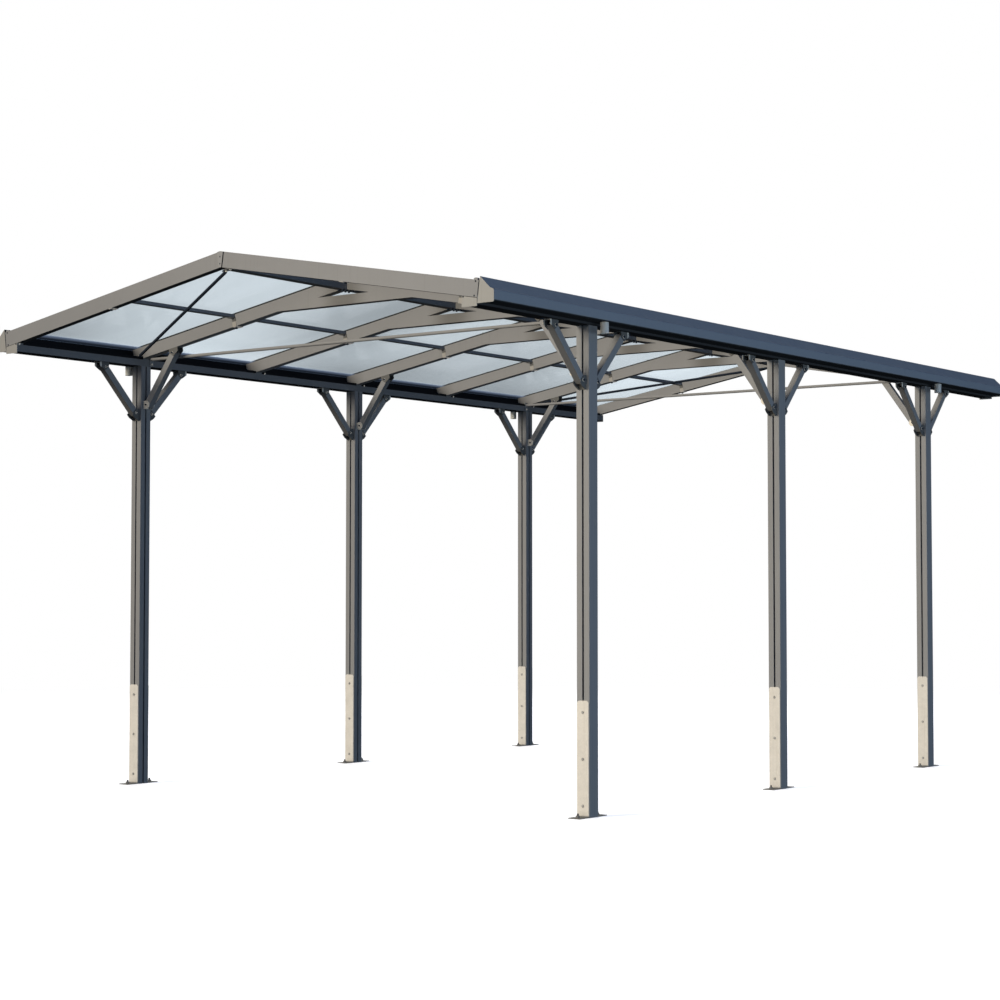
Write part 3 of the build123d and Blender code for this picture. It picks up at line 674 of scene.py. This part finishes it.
def turned(name, profile, places, axes, material, sides=12):
    """Fasteners of one kind, as closed shells turned about their axes.

    A point is place + rise(v) * axis + reach(u, v) * (cos u * first + sin u * second), with u round the
    axis and v along the profile. The reach is the profile's radius on a round part; on a six-sided part
    it is the radius divided by the cosine of the angle from the middle of the nearest flat.
    """
    profile = np.asarray(profile, float)
    radius, rise, six = profile[:, 0] / 1000, profile[:, 1] / 1000, profile[:, 2]
    turn = np.linspace(0, 2 * np.pi, sides, endpoint=False)
    flat = (turn + np.pi / 6) % (np.pi / 3) - np.pi / 6
    reach = radius[:, None] * (1 + six[:, None] * (1 / np.cos(flat) - 1))
    axes, first, second = frames_along(axes)
    spoke = np.cos(turn)[:, None] * first[:, None] + np.sin(turn)[:, None] * second[:, None]
    points = (np.asarray(places)[:, None, None] + rise[:, None, None] * axes[:, None, None]
              + reach[None, :, :, None] * spoke[:, None])
    add_piece(name, points, grid_faces(len(points), len(profile), sides), material)


def threaded(name, diameter, step, length, places, axes, material, sides=20):
    """Threaded ends: a cylinder whose radius follows a saw-tooth that climbs one step a turn.

    The radius is the outer radius less the thread's depth times a triangle wave of rise / step - u / 2 pi,
    and it draws in over the last step to a bevelled tip.
    """
    rings = int(round(length / step * 5))
    rise = np.linspace(0, length, rings)[:, None]
    turn = np.linspace(0, 2 * np.pi, sides, endpoint=False)[None, :]
    wave = np.abs((rise / step - turn / (2 * np.pi)) % 1.0 - 0.5) * 2
    tip = np.clip((rise - (length - step)) / step, 0, 1)
    reach = (diameter / 2 - 0.61 * step * wave - 0.10 * diameter * tip) / 1000
    axes, first, second = frames_along(axes)
    spoke = np.cos(turn)[0, :, None] * first[:, None] + np.sin(turn)[0, :, None] * second[:, None]
    points = (np.asarray(places)[:, None, None] + (rise / 1000)[None, :, :, None] * axes[:, None, None]
              + reach[None, :, :, None] * spoke[:, None])
    add_piece(name, points, grid_faces(len(points), rings, sides), material, 50.0)


def hexagon_head(across, height, washer=0.0, sheet=0.0):
    """Profile of a six-sided head or nut with a rounded top, on a washer: radius, rise, six-sidedness."""
    rows = [(washer, 0.0, 0), (washer, 0.75 * sheet, 0), (washer - 0.3, sheet, 0)] if washer else []
    half = across / 2
    return rows + [(half * 0.97, sheet, 1), (half, sheet + 0.3, 1), (half, sheet + 0.82 * height, 1),
                   (half * 0.96, sheet + 0.96 * height, 0.35), (half * 0.88, sheet + height, 0)]


def pan_head(radius, height):
    """Profile of a domed screw head."""
    return [(radius, 0.0, 0), (radius, 0.35 * height, 0), (0.86 * radius, 0.75 * height, 0),
            (0.55 * radius, height, 0)]


def bars(name, corners, starts, ends, material):
    """Straight bars with one closed outline each.

    A point is start + share(v) * (end - start) + an outline corner, where v goes from 0 to 1 along the
    bar; corners are given as X and Z offsets, or as any two columns of a three-column outline.
    """
    corners = np.asarray(corners, float)
    starts, ends = np.asarray(starts, float), np.asarray(ends, float)
    share = np.linspace(0, 1, 2)[None, :, None, None]
    points = starts[:, None, None] + share * (ends - starts)[:, None, None] + corners[None, None]
    add_piece(name, points, grid_faces(len(points), 2, len(corners)), material)


def mirrored(points, axes, flips=CORNERS):
    """Places and axes of one corner, copied to the others by changing the signs of X and Y."""
    points = np.atleast_2d(points).astype(float)
    axes = np.broadcast_to(np.atleast_2d(axes).astype(float), points.shape)
    signs = np.array([(x, y, 1.0) for x, y in flips])
    return ((signs[:, None] * points).reshape(-1, 3), (signs[:, None] * axes).reshape(-1, 3))


def every(places_x, places_y, places_z):
    """All combinations of three lists, as rows."""
    return np.stack(np.meshgrid(places_x, places_y, places_z, indexing="ij"), axis=-1).reshape(-1, 3)


def facing(places, axis):
    """One axis repeated for every place."""
    return np.tile(np.asarray(axis, float), (len(places), 1))


def both_ends(front):
    """A place along Y at the front, and the matching one at the rear."""
    return [front, -front]


def foot_bolts(metal, dark):
    """Small hexagon bolts on washers up the front and rear legs of every foot, and their anchors."""
    foot_sheet, anchor_out = 0.004, 0.075
    places, axes = [], []
    for way in (-1, 1):
        found = every((-POST_X, POST_X), POST_ROWS + way * (POST_HALF + foot_sheet), (0.05, 0.25, 0.45))
        places.append(found)
        axes.append(facing(found, (0.0, way, 0.0)))
    places, axes = np.concatenate(places), np.concatenate(axes)
    turned("foot_bolts", hexagon_head(*FOOT_HEAD), places, axes, metal, 24)
    rows = np.concatenate([POST_ROWS - anchor_out, POST_ROWS + anchor_out])
    anchors = every((-POST_X, POST_X), rows, (foot_sheet,))
    up = facing(anchors, UP)
    turned("anchor_nuts", hexagon_head(*ANCHOR_NUT), anchors, up, dark, 24)
    threaded("anchor_studs", 10.0, 1.5, 9.0, anchors + (0, 0, 0.0085), up, dark)


def brace_bolts(metal, dark):
    """Bolts through the ears of every brace: a head on one side, a nut and a threaded tip on the other."""
    along = ((POST_HALF + 0.022, 1.881), (POST_HALF + 0.229, 2.098))     # distance from the row, height
    inward = ((1.322, 1.921), (1.138, 2.175))                            # distance from the middle, height
    through = 2 * EAR_FACE
    beside = np.array([(POST_X + EAR_FACE, row + way * out, high)
                       for row in POST_ROWS for way in (-1, 1) for out, high in along])
    before = np.array([(out, row - EAR_FACE, high) for row in POST_ROWS for out, high in inward])
    runs = ((beside, (1.0, 0.0, 0.0), (-through, 0, 0)), (before, FORWARD, (0, through, 0)))
    near = [mirrored(spots, facing(spots, axis), SIDES) for spots, axis, _ in runs]
    far = [mirrored(spots + step, -facing(spots, axis), SIDES) for spots, axis, step in runs]
    heads, head_axes = (np.concatenate(group) for group in zip(*near))
    nuts, nut_axes = (np.concatenate(group) for group in zip(*far))
    washer = [(7.0, 0.0, 0), (7.0, 1.0, 0), (6.7, BRACE_WASHER, 0)]
    turned("brace_washers", washer, np.concatenate([heads, nuts]), np.concatenate([head_axes, nut_axes]),
           metal, 20)
    seat = BRACE_WASHER / 1000
    turned("brace_bolt_heads", hexagon_head(*BRACE_HEAD), heads + seat * head_axes, head_axes, dark)
    turned("brace_nuts", hexagon_head(*BRACE_HEAD), nuts + seat * nut_axes, nut_axes, dark)
    threaded("brace_bolt_tips", 6.0, 1.0, 2.4, nuts + 0.0050 * nut_axes, nut_axes, metal,
             16)


def beam_bolts(metal, dark):
    """Bolts on the beams' inner faces beside the rafters' feet, and the ones under the beams."""
    rows = np.concatenate([TRUSS_ROWS + 0.046, both_ends(GABLE + 0.014)])
    places, axes = mirrored(every((BEAM_INNER,), rows, (2.157,)), INWARD, SIDES)
    turned("rafter_foot_bolts", hexagon_head(*RAFTER_FOOT_HEAD), places, axes, metal)
    brace_reach, beyond = 0.250, 0.052
    rows = np.concatenate([POST_ROWS + way * (POST_HALF + brace_reach + beyond) for way in (-1, 1)])
    under = every((-POST_X, POST_X), rows, (POST_TOP,))
    turned("beam_underside_bolts", hexagon_head(*BEAM_HEAD), under, facing(under, DOWN), dark)
    tie = np.array([(BEAM_INNER - 0.004, POST_ROWS[0] + 0.0358, 2.1335)])
    places, axes = mirrored(tie, INWARD)
    turned("tie_plate_bolts", hexagon_head(*TIE_PLATE_HEAD), places, axes, metal)


def roof_bolts(metal, dark):
    """Bolts in the roof frame: under the purlin straps, in the ridge, and on the diagonal rods' tabs."""
    square_down = (np.sin(PITCH), 0.0, -np.cos(PITCH))
    strap_sheet, purlin_rise = 0.0025, 0.043
    rows = np.concatenate([TRUSS_ROWS, both_ends(GABLE + 0.017)])
    spots = every((-PURLIN_X,), rows, (underside(PURLIN_X) - strap_sheet,))
    places, axes = mirrored(spots, square_down, SIDES)
    turned("strap_bolts", hexagon_head(*STRAP_HEAD), places, axes, dark)
    front = every((PURLIN_X,), TRUSS_ROWS - RAFTER_HALF, (underside(PURLIN_X) + purlin_rise,))
    places, axes = mirrored(front, FORWARD, SIDES)
    turned("purlin_bolts", hexagon_head(*PURLIN_HEAD), places, axes, dark)
    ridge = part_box("ridge_beam")[0][2]
    rows = (TRUSS_ROWS[:, None] + (-0.036, -0.012, 0.012, 0.036)).ravel()
    spots = every((-0.014, 0.014), rows, (ridge,))
    turned("ridge_joint_bolts", hexagon_head(*RIDGE_NUT), spots, facing(spots, DOWN), dark)
    spots = every((0.016,), both_ends(GABLE + 0.046), (ridge,))
    turned("gable_ridge_bolts", hexagon_head(*ROD_HEAD), spots, facing(spots, DOWN), metal)
    rod_low, rod_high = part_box("front_diagonal_rods")
    tab, tab_sheet = 0.011, 0.004
    spots = np.array([(rod_high[0] - tab, rod_low[1] + tab, ridge - tab_sheet)])
    places, axes = mirrored(spots, DOWN, GABLES)
    turned("rod_ridge_bolts", hexagon_head(*ROD_HEAD), places, axes, metal)
    spots = np.array([(-BEAM_INNER - 0.013, POST_ROWS[0] - 0.035, BEAM_TOP + tab_sheet)])
    places, axes = mirrored(spots, UP, GABLES)
    turned("rod_foot_bolts", hexagon_head(*ROD_HEAD), places, axes, metal)


def roof_screws(metal):
    """Sealing screws along the cover strips, square to the roof."""
    square_up = (np.sin(PITCH), 0.0, np.cos(PITCH))
    rows, out = np.meshgrid(TRUSS_ROWS, (0.16, 0.45, 0.75, 1.05, 1.34), indexing="ij")
    spots = np.stack([out.ravel(), rows.ravel(), underside(out.ravel()) + COVER], axis=1)
    places, axes = mirrored(spots, facing(spots, square_up), SIDES)
    turned("cover_strip_screws", hexagon_head(*COVER_HEAD), places, axes, metal)


def seam_shade_strips(black):
    """Black strips behind the gap between each rake and the gutter's cap, as painted shade in the gap.

    A strip is a thin slab: a point is low + v * (high - low) + an outline corner, with v along its height.
    """
    back = GABLE + 0.0031
    wide, deep = 0.0062, 0.0042
    section = np.array([(-wide, 0, 0), (wide, 0, 0), (wide, deep, 0), (-wide, deep, 0)])
    for x_sign, side in ((1, "right"), (-1, "left")):
        for y_sign, end in ((1, "front"), (-1, "rear")):
            low = np.array((x_sign * 1.4205, y_sign * back, POST_TOP + 0.004))
            high = np.array((x_sign * 1.4300, y_sign * back, 2.2125))
            outline = section * (1, y_sign, 1)
            if y_sign < 0:
                outline = outline[::-1]
            bars(f"{end}_{side}_seam_shade_strip", outline, [low], [high], black)


def eave_shade_closures(black):
    """Rubber closures along the beams between the roof frames; their black is also painted shade.

    Each is a closed outline carried from one frame to the next: a lip over the beam's inner edge, a web
    on the beam's top and an upstand in front of the gutter's back, under the sheets.
    """
    clearance = 0.001
    under_sheet = underside(1.4190) + RAFTER - 0.0045
    lip_inner, lip_outer, lip_foot = BEAM_INNER - 0.0022, BEAM_INNER - 0.0004, BEAM_TOP - 0.0105
    stand_inner, stand_outer = 1.4165, 1.4195
    web = BEAM_TOP + 0.0004
    outline = [(lip_inner, lip_foot), (lip_outer, lip_foot), (lip_outer, web), (stand_outer, web),
               (stand_outer, under_sheet), (stand_inner, under_sheet), (stand_inner, BEAM_TOP + 0.0034),
               (lip_inner, BEAM_TOP + 0.0024)]
    frames = np.concatenate([[GABLE + RAKE_HALF], TRUSS_ROWS, [-GABLE - RAKE_HALF]])
    room = np.array([RAKE_HALF] + [RAFTER_HALF] * 5 + [RAKE_HALF]) + clearance
    for sign, side in ((1, "right"), (-1, "left")):
        ring = np.array([(sign * x, 0.0, z) for x, z in outline])[::-sign]
        starts = np.array([(0.0, y, 0.0) for y in frames[:-1] + room[:-1]])
        ends = np.array([(0.0, y, 0.0) for y in frames[1:] - room[1:]])
        bars(f"{side}_eave_shade_closures", ring, starts, ends, black)


def rake_clips(paint, dark):
    """Small raised clips on the rakes' lower ends, and the blackened screws beside them.

    A clip's outline is a half ellipse on two short legs: a point is half * cos u across and
    base + rise * sin u up, with u from 0 to a half turn.
    """
    clip_x, half, length = 1.4155, 0.0095, 0.013
    base, rise = 0.0052, 0.0035
    turn = np.linspace(0, np.pi, 7)
    arch = np.stack([half * np.cos(turn), np.zeros(7), base + rise * np.sin(turn)], axis=1)
    outline = np.concatenate([[(half, 0, -0.004)], arch, [(-half, 0, -0.004)]])
    top = underside(clip_x) + RAKE
    for x_sign, side in ((1, "right"), (-1, "left")):
        for y_sign, end in ((1, "front"), (-1, "rear")):
            face = y_sign * (GABLE + 0.0003)
            start = np.array((x_sign * clip_x, face, top))
            stop = np.array((x_sign * clip_x, face + y_sign * length, top))
            ring = outline if y_sign < 0 else outline[::-1]
            bars(f"{end}_{side}_rake_clip", ring, [start], [stop], paint)
    low = 2.1545
    spots = np.array([(clip_x, GABLE, top - 0.006), (1.4080, GABLE, low), (1.352, GABLE, low)])
    places, axes = mirrored(spots, FORWARD)
    turned("gable_screws", pan_head(*SCREW_HEAD), places, axes, dark)


def fit_hardware():
    """All fasteners and seals."""
    bright = zinc("bolt_zinc", BOLT_ZINC, metal=0.4)
    foot = zinc("foot_bolt_zinc", FOOT_BOLT_ZINC, metal=0.4)
    stained = zinc("anchor_zinc", ANCHOR_ZINC, metal=0.4)
    black = dark_coat("blackened_steel")
    foot_bolts(foot, stained)
    brace_bolts(bright, black)
    beam_bolts(bright, black)
    roof_bolts(bright, black)
    roof_screws(foot)
    # The black rubber also stands in for shade in the rake seams and above the eave beams: painted shade.
    seal = rubber("black_rubber_and_shade")
    seam_shade_strips(seal)
    eave_shade_closures(seal)
    rake_clips(grey_coat("clip_coat"), black)


# ---- studio ----------------------------------------------------------------------------------------
def seen_directly(graph):
    """1 for camera, mirror and glass rays, 0 for rays that only carry light."""
    path = graph.add("ShaderNodeLightPath")
    direct = graph.maths("MAXIMUM", path.outputs["Is Camera Ray"], path.outputs["Is Glossy Ray"])
    return graph.maths("MAXIMUM", direct, path.outputs["Is Transmission Ray"])


def world_light():
    """White to the eye; as a lamp, a dim blue sky."""
    world = bpy.data.worlds.new("studio")
    bpy.context.scene.world = world
    world.use_nodes = True
    graph = Graph(world.node_tree)
    light = graph.add("ShaderNodeBackground", Color=SKY_LIGHT)
    white = graph.add("ShaderNodeBackground", Color=(1.0, 1.0, 1.0))
    both = graph.add("ShaderNodeMixShader", Fac=seen_directly(graph))
    graph.feed(both.inputs[1], light.outputs[0])
    graph.feed(both.inputs[2], white.outputs[0])
    graph.add("ShaderNodeOutputWorld", Surface=both.outputs[0])


def lay_floor():
    """Wide plain floor: near-white to the eye, dark for the light that it throws back up."""
    half = FLOOR_SIZE / 2
    mesh = bpy.data.meshes.new("floor")
    corners = [(-half, -half, 0), (half, -half, 0), (half, half, 0), (-half, half, 0)]
    mesh.from_pydata(corners, [], [(0, 1, 2, 3)])
    floor = bpy.data.objects.new("floor", mesh)
    bpy.context.scene.collection.objects.link(floor)
    material, graph = new_material("floor")
    far = graph.between(graph.length(graph.place()), 4.0, 11.0)
    albedo = graph.blend(far, (0.80, 0.80, 0.80), (0.0, 0.0, 0.0))
    glow = graph.add("ShaderNodeEmission", Color=graph.blend(far, (0.55, 0.55, 0.55), (1.0, 1.0, 1.0)))
    shown = graph.add("ShaderNodeAddShader")
    diffuse = graph.add("ShaderNodeBsdfDiffuse", Color=albedo)
    graph.feed(shown.inputs[0], diffuse.outputs[0])
    graph.feed(shown.inputs[1], glow.outputs[0])
    bounce = graph.add("ShaderNodeBsdfDiffuse", Color=(FLOOR_BOUNCE, FLOOR_BOUNCE, FLOOR_BOUNCE))
    both = graph.add("ShaderNodeMixShader", Fac=seen_directly(graph))
    graph.feed(both.inputs[1], bounce.outputs[0])
    graph.feed(both.inputs[2], shown.outputs[0])
    finish_surface(graph, both.outputs[0])
    mesh.materials.append(material)
    floor.visible_shadow = False


def aim(thing, target):
    """Turn a lamp so that it faces a point."""
    thing.rotation_euler = (Vector(target) - thing.location).to_track_quat("-Z", "Y").to_euler()


def soft_box(name, colour, power, place, size, target=AIM, beam=180.0):
    """Rectangular lamp that the eye doesn't see; its light stays within a beam of so many degrees."""
    data = bpy.data.lights.new(name, "AREA")
    data.shape = "RECTANGLE"
    data.size, data.size_y = size
    data.energy = power
    data.color = colour
    data.spread = radians(beam)
    lamp = bpy.data.objects.new(name, data)
    bpy.context.scene.collection.objects.link(lamp)
    lamp.location = place
    aim(lamp, target)
    lamp.visible_camera = False
    lamp.visible_transmission = False
    lamp.visible_glossy = False


def key_light():
    """Warm, wide and low sun from the front left; the roof, its frame and the ties cast no shadow from it."""
    data = bpy.data.lights.new("key", "SUN")
    data.angle = radians(KEY_SPREAD)
    data.energy = KEY_POWER
    data.color = KEY_COLOUR
    lamp = bpy.data.objects.new("key", data)
    bpy.context.scene.collection.objects.link(lamp)
    lamp.location = [KEY_DISTANCE * part for part in KEY_FROM]
    aim(lamp, (0.0, 0.0, 0.0))
    lamp.visible_transmission = False
    lamp.visible_glossy = False
    shading = bpy.data.collections.new("key_shading")
    for thing in bpy.context.scene.objects:
        if thing.type == "MESH" and not any(word in thing.name for word in UNSHADING):
            shading.objects.link(thing)
    lamp.light_linking.blocker_collection = shading


def place_camera():
    """Eye-level camera at the front right."""
    data = bpy.data.cameras.new("camera")
    data.lens = CAMERA_LENS
    data.sensor_width = SENSOR
    data.clip_end = 1000.0
    camera = bpy.data.objects.new("camera", data)
    bpy.context.scene.collection.objects.link(camera)
    camera.location = CAMERA_PLACE
    camera.rotation_euler = [radians(turn) for turn in CAMERA_TURN]
    bpy.context.scene.camera = camera


bpy.context.scene.view_settings.view_transform = "Standard"
for make_effect in (make_powder_grain, make_rain_streaks, make_dust_film, make_zinc_spangle):
    make_effect()
dress_frame()
fit_hardware()
world_light()
lay_floor()
key_light()
soft_box("side", SIDE_COLOUR, SIDE_POWER, SIDE_PLACE, SIDE_SIZE, (0.0, SIDE_PLACE[1], SIDE_PLACE[2]))
soft_box("fill", KEY_COLOUR, FILL_POWER, FILL_PLACE, FILL_SIZE, (FILL_PLACE[0], 0.0, FILL_PLACE[2]),
         FILL_BEAM)
soft_box("back", BACK_COLOUR, BACK_POWER, BACK_PLACE, BACK_SIZE)
place_camera()
